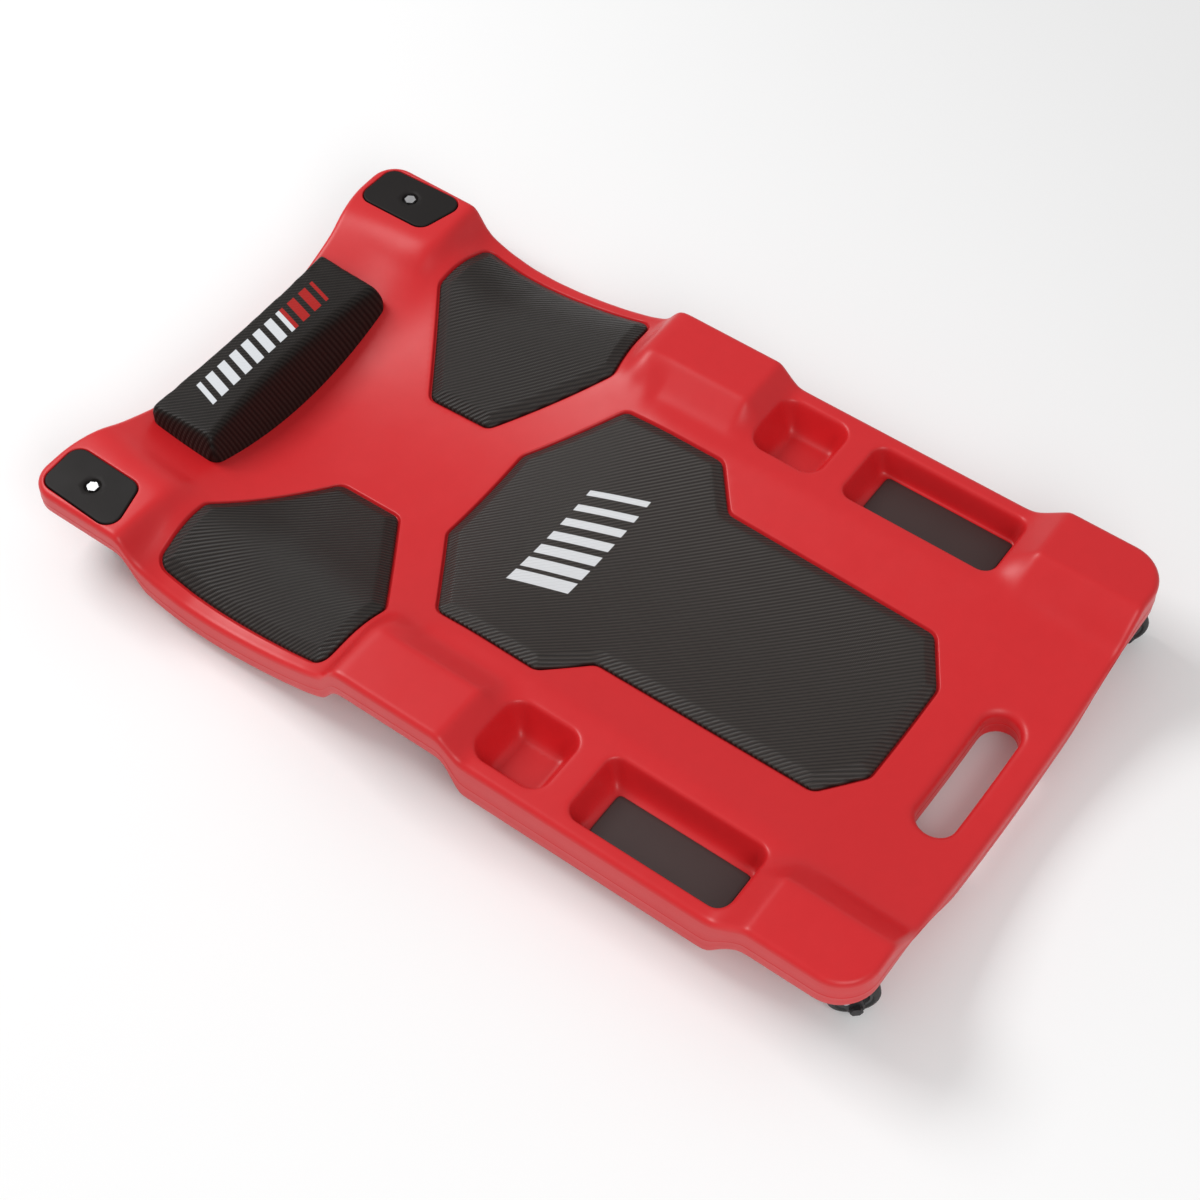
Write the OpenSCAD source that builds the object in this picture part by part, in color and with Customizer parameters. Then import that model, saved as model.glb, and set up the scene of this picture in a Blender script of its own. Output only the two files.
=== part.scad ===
// Low rolling creeper: a hollow moulded deck with padded back, shoulder and head rests,
// two cups and two tool trays, on six swivel casters.
// Frame: origin on the floor under the middle, +Y towards the head end, +Z up.

/* [Deck] */
// Width of the deck
deck_w = 686; // [670:1:700]
// Length of the deck
deck_l = 1168; // [1160:1:1176]
// Height of the deck at the middle of the back
deck_h = 75; // [73:1:77]
// Wall thickness of the hollow moulding
wall_t = 3.5; // [3:0.5:4.5]
// Radius of the top edge
edge_r = 12; // [9:1:14]
// Radius of the two foot corners in plan
foot_corner_r = 50; // [42:1:56]
// Radius of the two head corners in plan
head_corner_r = 36; // [30:1:40]

/* [Hand slot and pockets] */
// Length of the hand slot
slot_l = 180; // [150:1:190]
// Width of the hand slot
slot_w = 44; // [38:1:46]
// Floor height of the cups
cup_floor = 61; // [57:1:69]
// Floor height of the tool trays
tray_floor = 65; // [63:1:69]

/* [Padding] */
// Thickness of the back and shoulder pads
pad_t = 11; // [9:0.5:13]
// Height of the flat top of the headrest above the floor
headrest_top = 113; // [107:1:117]

/* [Casters] */
// Wheel diameter
wheel_d = 60; // [57:1:61]
// Tyre width
tyre_w = 28; // [26:1:30]
// Distance of the axle behind the swivel axis
trail = 24; // [22:1:26]
// Height of the underside of the deck over the casters
caster_h = 85; // [85:1:86]
// Direction in which the two foot casters trail at rest
foot_trail_a = -48; // [-70:1:-45]

/* [Hidden] */
$fn = 64;

half_w = deck_w / 2;
half_l = deck_l / 2;
side_band = 47;
belly_z = 14;
tray_belly_z = 37;
rim_z = 104;
foot_top = 137;
mid_top = 131;
lobe_top = 122;
head_dip = 15;

// Swivel axis [x, y] and resting trail direction of each caster
FL = [-298, -534, foot_trail_a];
FR = [298, -534, foot_trail_a];
ML = [-262, 29, -75];
MR = [262, 29, -75];
HL = [-300, 514, -25];
HR = [300, 514, -155];

function clamp01(t) = max(0, min(1, t));
function ramp(a, b, v) = clamp01((v - a) / (b - a));
function smooth(a, b, v) = let (t = ramp(a, b, v)) t * t * (3 - 2 * t);
function mix(a, b, t) = a + (b - a) * t;

// Height of the lying surface on the centre line, and how fast it rises to the sides
function centre_z(y) = lookup(y, [[-584, deck_h - 2], [-440, deck_h - 1], [30, deck_h], [100, 69], [158, 62], [224, 57], [314, 53], [440, 42], [500, 46],
    [584, 62]]);
function dish_k(y) = lookup(y, [[-584, 0.00063], [100, 0.00075], [200, 0.0007], [314, 0.0006],
    [406, 0.00093], [450, 0.0013], [584, 0.0013]]);
function dish_z(x, y) = centre_z(y) + dish_k(y) * x * x;
// Height of the side edge where it sweeps down beside the shoulders
function side_z(y) = lookup(y, [[102, mid_top], [126, 105], [154, 94], [192, 83], [230, 73], [268, 66],
    [306, 62], [344, 62], [382, 69], [410, 78], [428, 91], [442, lobe_top]]);
function cap_z(y) = mix(rim_z, lobe_top, ramp(60, 100, y));
function field_z(x, y) = min(cap_z(y), dish_z(x, y));
function shoulder_w(x, y) = (y > 102 && y < 442) ? smooth(200, 335, abs(x)) : 0;
function open_z(x, y) = mix(field_z(x, y), side_z(y), shoulder_w(x, y));
function foot_w(x, y) = ramp(226, 262, abs(x)) * ramp(-410, -445, y);
function mid_w(x, y) = ramp(228, 262, abs(x)) * ramp(-68, -44, y) * ramp(120, 102, y);
function lobe_w(x, y) = ramp(228, 262, abs(x)) * ramp(428, 442, y);
function deck_top(x, y) =
    let (z0 = open_z(x, y))
    let (z1 = mix(z0, foot_top, foot_w(x, y)))
    let (z2 = mix(z1, mid_top, mid_w(x, y)))
    mix(z2, lobe_top, lobe_w(x, y));

// Bays in the underside that the casters swing in
function bay_w(x, y) = max(ramp(206, 228, abs(x)) * ramp(-403, -444, y),
    ramp(165, 190, abs(x)) * ramp(-68, -44, y) * ramp(126, 103, y),
    ramp(206, 228, abs(x)) * ramp(410, 442, y));
function belly_w(x, y) = ramp(190, 206, abs(x)) * ramp(-444, -403, y) * ramp(-44, -68, y);
function deck_bottom(x, y) =
    let (z0 = max(belly_z, open_z(x, y) - side_band))
    let (z1 = mix(z0, tray_belly_z, belly_w(x, y)))
    mix(z1, caster_h, bay_w(x, y));

// Plan outline: straight sides and foot edge, a head edge that curves in between the two lobes
function head_edge(x) = half_l - head_dip * smooth(285, 190, abs(x));
function edge_gap(x, y) =
    let (r = y < 0 ? foot_corner_r : head_corner_r)
    let (qx = abs(x) - half_w + r)
    let (qy = y < 0 ? -half_l + r - y : y - head_edge(x) + r)
    qx > 0 && qy > 0 ? r - norm([qx, qy]) : r - max(qx, qy);
function edge_drop(d, r) = let (e = min(r, max(0, r - d))) r - sqrt(r * r - e * e);

function half_row(row) = concat([for (i = [len(row) - 1:-1:1]) -row[i]], row);
xs = half_row([0, 45, 90, 130, 165, 190, 206, 228, 262, 300, 322, 331, 338, 343, 350]);
ys = [-592, -584, -579, -572, -560, -534, -490, -444, -428, -410, -403, -320, -200, -92, -68, -48, -44,
    30, 68, 102, 114, 126, 154, 192, 230, 268, 306, 344, 382, 410, 428, 442, 480, 520, 548, 560, 572,
    579, 584, 592];
// Rows near the head end follow the curve of the head edge
function row_y(x, y) = y < 480 ? y : 480 + (y - 480) * (head_edge(x) - 480) / (half_l - 480);

function at_top(x, y) = deck_top(x, y) - edge_drop(edge_gap(x, y), edge_r);
function at_bottom(x, y) = deck_bottom(x, y) + edge_drop(edge_gap(x, y), 6);
function in_top(x, y) = at_top(x, y) - wall_t;
function in_bottom(x, y) = min(deck_bottom(x, y) + edge_drop(edge_gap(x, y), 6) + wall_t, in_top(x, y) - 1);

function sheet_pts(ax, ay, f) = [for (y = ay) for (x = ax) let (v = row_y(x, y)) [x, v, f(x, v)]];
function cell(a, b, c, d, flip) = flip ? [[a, b, d], [b, c, d]] : [[a, b, c], [a, c, d]];

// Closed slab between two height functions over a grid
module slab(ax, ay, f_top, f_bottom) {
    nx = len(ax);
    ny = len(ay);
    n = nx * ny;
    low = [for (j = [0:ny - 2]) for (i = [0:nx - 2])
        each cell(j * nx + i, j * nx + i + 1, (j + 1) * nx + i + 1, (j + 1) * nx + i, ax[i] < 0)];
    high = [for (t = low) [n + t[0], n + t[2], n + t[1]]];
    foot = [for (i = [0:nx - 2]) [i, n + i, n + i + 1, i + 1]];
    head = [for (i = [0:nx - 2]) let (k = (ny - 1) * nx + i) each [[k, k + 1, n + k + 1], [k, n + k + 1, n + k]]];
    left = [for (j = [0:ny - 2]) let (k = j * nx) [k, k + nx, n + k + nx, n + k]];
    right = [for (j = [0:ny - 2]) let (k = j * nx + nx - 1) [k, n + k, n + k + nx, k + nx]];
    polyhedron(concat(sheet_pts(ax, ay, f_bottom), sheet_pts(ax, ay, f_top)),
        concat(low, high, foot, head, left, right));
}

// Polygon with each corner rounded by a short curve of the given reach
function soft_corner(p, v, q, r) =
    let (a = v + (p - v) * min(0.45, r / norm(p - v)))
    let (b = v + (q - v) * min(0.45, r / norm(q - v)))
    [for (i = [0:4]) let (t = i / 4) a * (1 - t) * (1 - t) + v * 2 * t * (1 - t) + b * t * t];
function soft_poly(pts, r) = let (n = len(pts))
    [for (i = [0:n - 1]) each soft_corner(pts[(i + n - 1) % n], pts[i], pts[(i + 1) % n], r)];
function mirror_x(pts) = [for (i = [len(pts) - 1:-1:0]) [-pts[i][0], pts[i][1]]];

function arc_pts(cx, cy, r, a0, a1) = [for (i = [0:8]) let (a = mix(a0, a1, i / 8)) [cx + r * cos(a), cy + r * sin(a)]];
function outline_half(g) = concat(
    [[0, -half_l + g]],
    arc_pts(half_w - foot_corner_r, -half_l + foot_corner_r, foot_corner_r - g, -90, 0),
    arc_pts(half_w - head_corner_r, half_l - head_corner_r, head_corner_r - g, 0, 90),
    [for (x = [284, 272, 262, 250, 240, 230, 220, 210, 200, 190, 100]) [x, head_edge(x) - g]]);
module outline(g = 0) {
    polygon(concat(outline_half(g), [[0, head_edge(0) - g]],
        [for (i = [len(outline_half(g)) - 1:-1:1]) [-outline_half(g)[i][0], outline_half(g)[i][1]]]));
}

module rounded_box(x0, x1, y0, y1, z0, z1, r) {
    translate([0, 0, z0]) linear_extrude(z1 - z0)
        polygon(concat(arc_pts(x1 - r, y0 + r, r, -90, 0), arc_pts(x1 - r, y1 - r, r, 0, 90),
            arc_pts(x0 + r, y1 - r, r, 90, 180), arc_pts(x0 + r, y0 + r, r, 180, 270)));
}

// Pockets on the +X side, grown by g on every wall and by g below the floor
slot_y = -522;
magnet_floor = tray_floor - 3;
module cup_cut(g = 0) {
    rounded_box(233 - g, 319 + g, -160 - g, -70 + g, cup_floor - g, 200, 20 + g);
}
module tray_cut(g = 0) {
    rounded_box(229 - g, 320 + g, -407 - g, -200 + g, tray_floor - g, 200, 16 + g);
    rounded_box(250 - g, 310 + g, -400 - g, -223 + g, magnet_floor - g, tray_floor + 1, 4 + g);
}
module slot_cut(g = 0) {
    rounded_box(-slot_l / 2 - g, slot_l / 2 + g, slot_y - slot_w / 2 - g, slot_y + slot_w / 2 + g, 0, 200,
        slot_w / 2 + g - 0.5);
}

cap_outline = [[331.5, 570], [263.5, 573], [265.5, 468.5], [336.5, 449]];
cap_z0 = lobe_top - 8;
module cap_cut(g = 0) {
    translate([0, 0, cap_z0 - g]) linear_extrude(80)
        polygon(soft_poly([for (p = cap_outline) p + g * [sign(p[0] - 300), sign(p[1] - 514)]], 22));
}

plate_bolts = [for (u = [-22, 22]) for (v = [-28, 28]) [u, v]];
screwed = [FL, FR, ML, MR];
module boss_columns(r) {
    for (c = screwed) for (p = plate_bolts)
        translate([c[0] + p[0], c[1] + p[1], caster_h - 1]) cylinder(r = r, h = 18);
}

clip_pts = [[0, 120], [-150, 40], [150, 40], [-100, -150], [100, -150], [-90, -370], [90, -370],
    [-285, 180], [-285, 360], [-130, 270], [285, 180], [285, 360], [130, 270], [-120, 500], [120, 500]];

module deck_shell() {
    color([0.85, 0.23, 0.23]) difference() {
        intersection() {
            slab(xs, ys, function (x, y) at_top(x, y), function (x, y) at_bottom(x, y));
            linear_extrude(220) outline();
        }
        difference() {
            intersection() {
                slab(xs, ys, function (x, y) in_top(x, y), function (x, y) in_bottom(x, y));
                linear_extrude(220) outline(wall_t);
            }
            for (s = [0, 1]) mirror([s, 0, 0]) {
                cup_cut(wall_t);
                tray_cut(wall_t);
                cap_cut(wall_t);
                translate([300, 514, 45]) cylinder(r = 13, h = 100);
            }
            slot_cut(wall_t);
            boss_columns(7);
        }
        for (s = [0, 1]) mirror([s, 0, 0]) {
            cup_cut();
            tray_cut();
            cap_cut();
            translate([300, 514, 45]) cylinder(r = 4.1, h = 100);
        }
        slot_cut();
        for (c = screwed) for (p = plate_bolts)
            translate([c[0] + p[0], c[1] + p[1], caster_h - 3]) cylinder(r = 2.5, h = 17);
        for (p = clip_pts) translate([p[0], p[1], deck_top(p[0], p[1]) - 18]) cylinder(r = 3, h = 30);
    }
}

// Padding
main_outline = [[74, 158], [187, 82], [188, -60], [134, -106], [129.5, -397], [72, -436]];
shoulder_outline = [[319, 401], [225, 406], [87, 314], [88, 224], [224, 130], [324, 143]];
pad_xs = half_row([0, 45, 90, 130, 165, 190, 206, 228, 262, 300, 322, 331, 338]);
main_ys = [-444, -428, -410, -403, -320, -200, -92, -68, -48, -44, 30, 68, 102, 114, 126, 154, 192];
shoulder_ys = [114, 126, 154, 192, 230, 268, 306, 344, 382, 410, 428];
board_t = 3;

module pad_prism(pts, g) {
    c = [for (k = [0, 1]) let (v = [for (p = pts) p[k]]) (min(v) + max(v)) / 2];
    linear_extrude(220) polygon(soft_poly([for (p = pts) p - g * [sign(p[0] - c[0]), sign(p[1] - c[1])]], 14));
}
module clip_holes() {
    for (p = clip_pts) translate([p[0], p[1], deck_top(p[0], p[1]) - 8]) cylinder(r = 3, h = 11);
}
module main_pad() {
    color([0.2, 0.18, 0.17]) difference() {
        intersection() {
            slab(pad_xs, main_ys, function (x, y) at_top(x, y) + pad_t, function (x, y) at_top(x, y));
            pad_prism(concat(main_outline, mirror_x(main_outline)), 0);
        }
        main_board_solid();
        clip_holes();
    }
}
module main_board_solid() {
    intersection() {
        slab(pad_xs, main_ys, function (x, y) at_top(x, y) + board_t, function (x, y) at_top(x, y));
        pad_prism(concat(main_outline, mirror_x(main_outline)), 8);
    }
}
module main_board() {
    color([0.55, 0.42, 0.28]) difference() {
        main_board_solid();
        clip_holes();
    }
}
module shoulder_board_solid() {
    intersection() {
        slab(pad_xs, shoulder_ys, function (x, y) at_top(x, y) + board_t, function (x, y) at_top(x, y));
        pad_prism(shoulder_outline, 12);
    }
}
module shoulder_pad(s) {
    color([0.2, 0.18, 0.17]) mirror([s, 0, 0]) difference() {
        intersection() {
            slab(pad_xs, shoulder_ys, function (x, y) at_top(x, y) + pad_t, function (x, y) at_top(x, y));
            pad_prism(shoulder_outline, 0);
        }
        shoulder_board_solid();
        clip_holes();
    }
}
module shoulder_board(s) {
    color([0.55, 0.42, 0.28]) mirror([s, 0, 0]) difference() {
        shoulder_board_solid();
        clip_holes();
    }
}

rest_x = 166;
rest_y0 = 447;
rest_y1 = 552;
rest_xs = half_row([0, 45, 90, 130, 150, 158, 170]);
rest_ys = [440, 447, 455, 466, 480, 520, 545, 552, 560];
seat_xs = half_row([0, 45, 90, 130, 165, 190]);
seat_ys = [442, 480, 520, 548, 560];
function rest_gap(x, y) = min(rest_x - abs(x), y - rest_y0, 3 * (rest_y1 - y));
function rest_z(x, y) = min(headrest_top - edge_drop(rest_gap(x, y), 8), deck_top(x, y) + 6 + 4 * rest_gap(x, y));
module headrest_board_solid() {
    intersection() {
        slab(seat_xs, seat_ys, function (x, y) at_top(x, y) + board_t, function (x, y) at_top(x, y));
        rounded_box(-150, 150, rest_y0 + 16, rest_y1 - 16, 20, 200, 10);
    }
}
module headrest() {
    color([0.2, 0.18, 0.17]) difference() {
        intersection() {
            slab(seat_xs, seat_ys, function (x, y) 180, function (x, y) at_top(x, y));
            slab(rest_xs, rest_ys, function (x, y) rest_z(x, y), function (x, y) 5);
            rounded_box(-rest_x, rest_x, rest_y0, rest_y1, 20, 200, 12);
        }
        headrest_board_solid();
        clip_holes();
    }
}
module headrest_board() {
    color([0.55, 0.42, 0.28]) difference() {
        headrest_board_solid();
        clip_holes();
    }
}
module pad_clips() {
    color([0.9, 0.9, 0.88]) for (p = clip_pts)
        translate([p[0], p[1], deck_top(p[0], p[1])]) {
            translate([0, 0, -8]) cylinder(r = 3, h = 10);
            translate([0, 0, -10]) cylinder(r = 2, h = 2.5);
        }
}

// Corner caps and the bolts through them
module corner_cap(s) {
    color([0.16, 0.15, 0.15]) mirror([s, 0, 0]) difference() {
        translate([0, 0, cap_z0]) linear_extrude(8.4) polygon(soft_poly(cap_outline, 22));
        translate([300, 514, cap_z0 + 2]) cylinder(r = 9, h = 20);
        translate([300, 514, cap_z0 - 1]) cylinder(r = 4.1, h = 20);
    }
}
module cap_bolts() {
    color([0.75, 0.75, 0.76]) for (c = [HL, HR]) translate([c[0], c[1], 0]) {
        translate([0, 0, cap_z0 + 2]) cylinder(r = 7.5, h = 5.5, $fn = 6);
        translate([0, 0, 60]) cylinder(r = 4, h = cap_z0 + 2 - 60);
    }
}
module cap_nuts() {
    color([0.75, 0.75, 0.76]) for (c = [HL, HR]) translate([c[0], c[1], 61]) difference() {
        cylinder(r = 7.5, h = 6.5, $fn = 6);
        translate([0, 0, -1]) cylinder(r = 4, h = 9);
    }
}
module magnet(s) {
    color([0.3, 0.23, 0.23]) mirror([s, 0, 0])
        rounded_box(250, 310, -400, -223, magnet_floor, tray_floor + 3.5, 4);
}
module plate_screws() {
    color([0.75, 0.75, 0.76]) for (c = screwed) for (p = plate_bolts)
        translate([c[0] + p[0], c[1] + p[1], 0]) {
            translate([0, 0, caster_h - 6]) cylinder(r = 4.5, h = 3);
            translate([0, 0, caster_h - 3.5]) cylinder(r = 2.5, h = 16);
        }
}

// Casters
race_z = caster_h - 5;
crown_z = caster_h - 10;
axle_z = wheel_d / 2;
hub_r = axle_z - 10;
module at_caster(c, turn = true) {
    translate([c[0], c[1], 0]) rotate([0, 0, turn ? c[2] : 0]) children();
}
module caster_plate(c, hollow = false) {
    color([0.7, 0.7, 0.72]) at_caster(c, false) difference() {
        union() {
            if (hollow) translate([0, 0, caster_h - 3]) cylinder(r = 30, h = 3);
            if (!hollow) rounded_box(-29, 29, -35, 35, caster_h - 3, caster_h, 6);
            translate([0, 0, race_z]) cylinder(r = 21, h = 3);
        }
        translate([0, 0, race_z - 1]) cylinder(r = 5, h = 10);
        if (!hollow) for (p = plate_bolts) translate([p[0], p[1], caster_h - 4]) cylinder(r = 2.5, h = 6);
    }
}
module kingpin(c, hollow = false) {
    color([0.6, 0.6, 0.62]) at_caster(c, false) difference() {
        union() {
            translate([0, 0, crown_z - 5.6]) cylinder(r = 5, h = caster_h - crown_z + 5.6);
            translate([0, 0, crown_z - 7.5]) cylinder(r = 8, h = 3.95);
        }
        if (hollow) translate([0, 0, crown_z - 9]) cylinder(r = 4.1, h = 30);
    }
}
module ball_ring(c) {
    color([0.8, 0.8, 0.82]) at_caster(c) for (i = [0:11]) rotate([0, 0, i * 30])
        translate([15, 0, crown_z + 2.5]) sphere(r = 2.45);
}
module fork(c) {
    color([0.7, 0.7, 0.72]) at_caster(c) difference() {
        union() {
            translate([0, 0, crown_z - 3.5]) cylinder(r = 23, h = 3.5);
            translate([-14, -22.5, crown_z - 3.5]) cube([34, 45, 3.5]);
            for (s = [-22.5, 19.5]) translate([0, s + 3, 0]) rotate([90, 0, 0]) linear_extrude(3) {
                polygon([[-14, crown_z], [20, crown_z], [trail + 10, axle_z + 2], [trail - 10, axle_z - 1]]);
                translate([trail, axle_z]) circle(r = 10);
            }
        }
        translate([0, 0, crown_z - 9]) cylinder(r = 5.05, h = 12);
        translate([trail, 40, axle_z]) rotate([90, 0, 0]) cylinder(r = 4, h = 80);
    }
}
module axle(c) {
    color([0.75, 0.75, 0.76]) at_caster(c) translate([trail, 0, axle_z]) rotate([90, 0, 0]) {
        translate([0, 0, -30]) cylinder(r = 4, h = 56);
        translate([0, 0, 22.5]) cylinder(r = 7.5, h = 5, $fn = 6);
        translate([0, 0, -28.5]) difference() {
            cylinder(r = 7.5, h = 6, $fn = 6);
            translate([0, 0, -1]) cylinder(r = 4, h = 8);
        }
    }
}
module hub(c) {
    color([0.25, 0.25, 0.26]) at_caster(c) translate([trail, 0, axle_z]) rotate([90, 0, 0]) difference() {
        rotate_extrude() polygon([[0, -19], [9, -19], [9.5, -8], [hub_r - 5, -7], [hub_r - 3, -12], [hub_r, -12],
            [hub_r, 12], [hub_r - 3, 12], [hub_r - 5, 7], [9.5, 8], [9, 19], [0, 19]]);
        translate([0, 0, -25]) cylinder(r = 4.05, h = 50);
    }
}
module tyre(c) {
    color([0.12, 0.12, 0.12]) at_caster(c) translate([trail, 0, axle_z]) rotate([90, 0, 0])
        rotate_extrude() polygon(concat([[hub_r, -12], [hub_r + 2, -tyre_w / 2]],
            [for (i = [0:6]) let (a = -90 + 15 * i) [axle_z - 8 + 8 * cos(a), -tyre_w / 2 + 8 + 8 * sin(a)]],
            [for (i = [0:6]) let (a = 15 * i) [axle_z - 8 + 8 * cos(a), tyre_w / 2 - 8 + 8 * sin(a)]],
            [[hub_r + 2, tyre_w / 2], [hub_r, 12]]));
}

deck_shell();
main_pad();
main_board();
shoulder_pad(1);  // shoulder_pad_l
shoulder_pad(0);  // shoulder_pad_r
shoulder_board(1);  // shoulder_board_l
shoulder_board(0);  // shoulder_board_r
headrest();
headrest_board();
pad_clips();
corner_cap(1);  // corner_cap_l
corner_cap(0);  // corner_cap_r
cap_bolts();
cap_nuts();
magnet(1);  // magnet_l
magnet(0);  // magnet_r
plate_screws();
caster_plate(FL);  // plate_fl
caster_plate(FR);  // plate_fr
caster_plate(ML);  // plate_ml
caster_plate(MR);  // plate_mr
caster_plate(HL, true);  // plate_hl
caster_plate(HR, true);  // plate_hr
kingpin(FL);  // kingpin_fl
kingpin(FR);  // kingpin_fr
kingpin(ML);  // kingpin_ml
kingpin(MR);  // kingpin_mr
kingpin(HL, true);  // kingpin_hl
kingpin(HR, true);  // kingpin_hr
ball_ring(FL);  // balls_fl
ball_ring(FR);  // balls_fr
ball_ring(ML);  // balls_ml
ball_ring(MR);  // balls_mr
ball_ring(HL);  // balls_hl
ball_ring(HR);  // balls_hr
fork(FL);  // fork_fl
fork(FR);  // fork_fr
fork(ML);  // fork_ml
fork(MR);  // fork_mr
fork(HL);  // fork_hl
fork(HR);  // fork_hr
axle(FL);  // axle_fl
axle(FR);  // axle_fr
axle(ML);  // axle_ml
axle(MR);  // axle_mr
axle(HL);  // axle_hl
axle(HR);  // axle_hr
hub(FL);  // hub_fl
hub(FR);  // hub_fr
hub(ML);  // hub_ml
hub(MR);  // hub_mr
hub(HL);  // hub_hl
hub(HR);  // hub_hr
tyre(FL);  // tyre_fl
tyre(FR);  // tyre_fr
tyre(ML);  // tyre_ml
tyre(MR);  // tyre_mr
tyre(HL);  // tyre_hl
tyre(HR);  // tyre_hr
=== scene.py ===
import math
import bpy
import numpy as np
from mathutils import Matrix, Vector, geometry


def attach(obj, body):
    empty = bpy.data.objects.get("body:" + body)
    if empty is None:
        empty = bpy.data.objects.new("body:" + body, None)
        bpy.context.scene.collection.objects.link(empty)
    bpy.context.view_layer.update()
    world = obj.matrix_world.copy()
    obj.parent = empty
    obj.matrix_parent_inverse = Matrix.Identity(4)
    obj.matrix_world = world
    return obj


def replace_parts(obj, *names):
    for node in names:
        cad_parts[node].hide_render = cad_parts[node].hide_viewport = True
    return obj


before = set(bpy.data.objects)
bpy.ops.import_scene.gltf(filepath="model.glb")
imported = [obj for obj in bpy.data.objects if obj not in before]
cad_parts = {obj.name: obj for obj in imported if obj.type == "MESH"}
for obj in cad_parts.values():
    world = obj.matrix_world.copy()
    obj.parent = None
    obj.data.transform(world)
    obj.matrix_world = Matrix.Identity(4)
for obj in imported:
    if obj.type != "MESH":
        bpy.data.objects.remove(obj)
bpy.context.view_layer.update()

MM = 0.001
TAU = 2 * math.pi

# ---------------------------------------------------------------- numbers, in mm
# Heights are counted from a plane this far under the floor
DROP = 15.0
HALF_W, HALF_L = 343.0, 584.0
EDGE_R, LOW_R = 8.0, 7.0
FOOT_R, HEAD_R = 50.0, 36.0
HEAD_DIP = 15.0
CASTER_H = 100.0
RIM_Z, FOOT_TOP, MID_TOP, LOBE_TOP = 119.0, 151.5, 146.0, 137.0
CUP = (230.5, 321.0, -163.0, -67.0, 22.0, 76.0)
TRAY = (229.0, 320.0, -407.0, -200.0, 16.0, 80.0)
SLOT = (-92.0, 92.0, -546.5, -498.5, 23.9)
MAIN = [(74, 158), (187, 82), (188, -60), (134, -106), (129.5, -397), (72, -436)]
MAIN = MAIN + [(-x, y) for x, y in reversed(MAIN)]
SHOULDER = [(319, 401), (225, 406), (87, 314), (88, 224), (224, 130), (324, 143)]
CAP = [(331.5, 570), (263.5, 573), (265.5, 468.5), (336.5, 449)]
REST = [(-166, 447), (166, 447), (166, 552), (-166, 552)]
STRIP = (250.0, 310.0, -400.0, -223.0, 4.5)
CAP_WELL = (300.0, 514.0)

# How far in from the rim each wall of a pocket reaches (centre, outer, foot and head side),
# and how steeply the wall starts
CUP_WALLS, CUP_CURVE = (25.0, 20.0, 20.0, 25.0), 2.1
TRAY_WALLS, TRAY_CURVE = (23.0, 6.0, 5.5, 26.0), 2.8


# ---------------------------------------------------------------- height functions
def gauss(values, sigma):
    n = int(4 * sigma)
    k = np.exp(-0.5 * (np.arange(-n, n + 1) / sigma) ** 2)
    return np.convolve(np.pad(values, n, mode="edge"), k / k.sum(), mode="valid")


def table(pts, sigma):
    ys = np.arange(-700.0, 701.0)
    p = np.array(pts, float)
    v = gauss(np.interp(ys, p[:, 0], p[:, 1]), sigma)
    return lambda y: np.interp(y, ys, v)


# Height along the middle line, and how fast the lying surface rises away from it
centre_z = table([(-584, 80), (-520, 81), (-440, 88), (-380, 89.5), (30, 90), (100, 84), (158, 77),
                  (224, 72), (314, 68), (440, 57), (500, 61), (584, 77)], 18)
dish_k = table([(-584, 0.00063), (100, 0.00075), (200, 0.0007), (314, 0.0006), (406, 0.00093),
                (450, 0.0013), (584, 0.0013)], 16)
# Height of the two side edges beside the shoulder pads
side_z = table([(60, 146), (102, 146), (126, 118), (154, 106), (192, 95), (230, 87), (268, 81),
                (306, 78), (344, 79), (382, 87), (410, 98), (428, 111), (442, 137), (500, 137)], 6)


def soft_plus(u, r):
    return r * np.logaddexp(0.0, u / r)


def ramp(a, b, v, low=3.0, high=None):
    """0 before a and 1 after b, straight between them, with rounded ends."""
    u = (v - a) * (1 if b > a else -1)
    length = abs(b - a)
    high = low if high is None else high
    return np.clip((soft_plus(u, low) - soft_plus(u - length, high)) / length, 0, 1)


def smooth(a, b, v):
    t = np.clip((v - a) / (b - a), 0, 1)
    return t * t * (3 - 2 * t)


def mix(a, b, t):
    return a + (b - a) * t


def soft_min(a, b, k):
    return a - soft_plus(a - b, k)


def open_z(x, y):
    """The lying surface, its rims and its side edges, without the platforms."""
    ax = np.abs(x)
    dish = centre_z(y) + dish_k(y) * x * x
    lid = mix(RIM_Z, LOBE_TOP, smooth(60, 110, y))
    crease = mix(mix(1.1, 2.5, smooth(20, 90, y)), 8.0, smooth(390, 450, y))
    field = soft_min(dish, lid, crease)
    w = smooth(195, 338, ax) * ramp(92, 112, y, 4) * ramp(450, 436, y, 4)
    return mix(field, side_z(y), w)


def deck_z(x, y):
    """The top of the deck with its platforms and head lobes, without the pockets."""
    ax = np.abs(x)
    z = open_z(x, y)
    z = mix(z, FOOT_TOP, ramp(222, 264, ax, 4.5, 1.8) * ramp(-406, -447, y, 4.5, 1.8))
    mid_y = ramp(-69, -42, y, 3.5, 1.8) * ramp(122, 100, y, 3.5, 2.2)
    z = mix(z, MID_TOP, ramp(224, 264, ax, 4.5, 1.8) * mid_y)
    return mix(z, LOBE_TOP, smooth(206, 276, ax) * ramp(422, 448, y, 5, 4))


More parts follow.
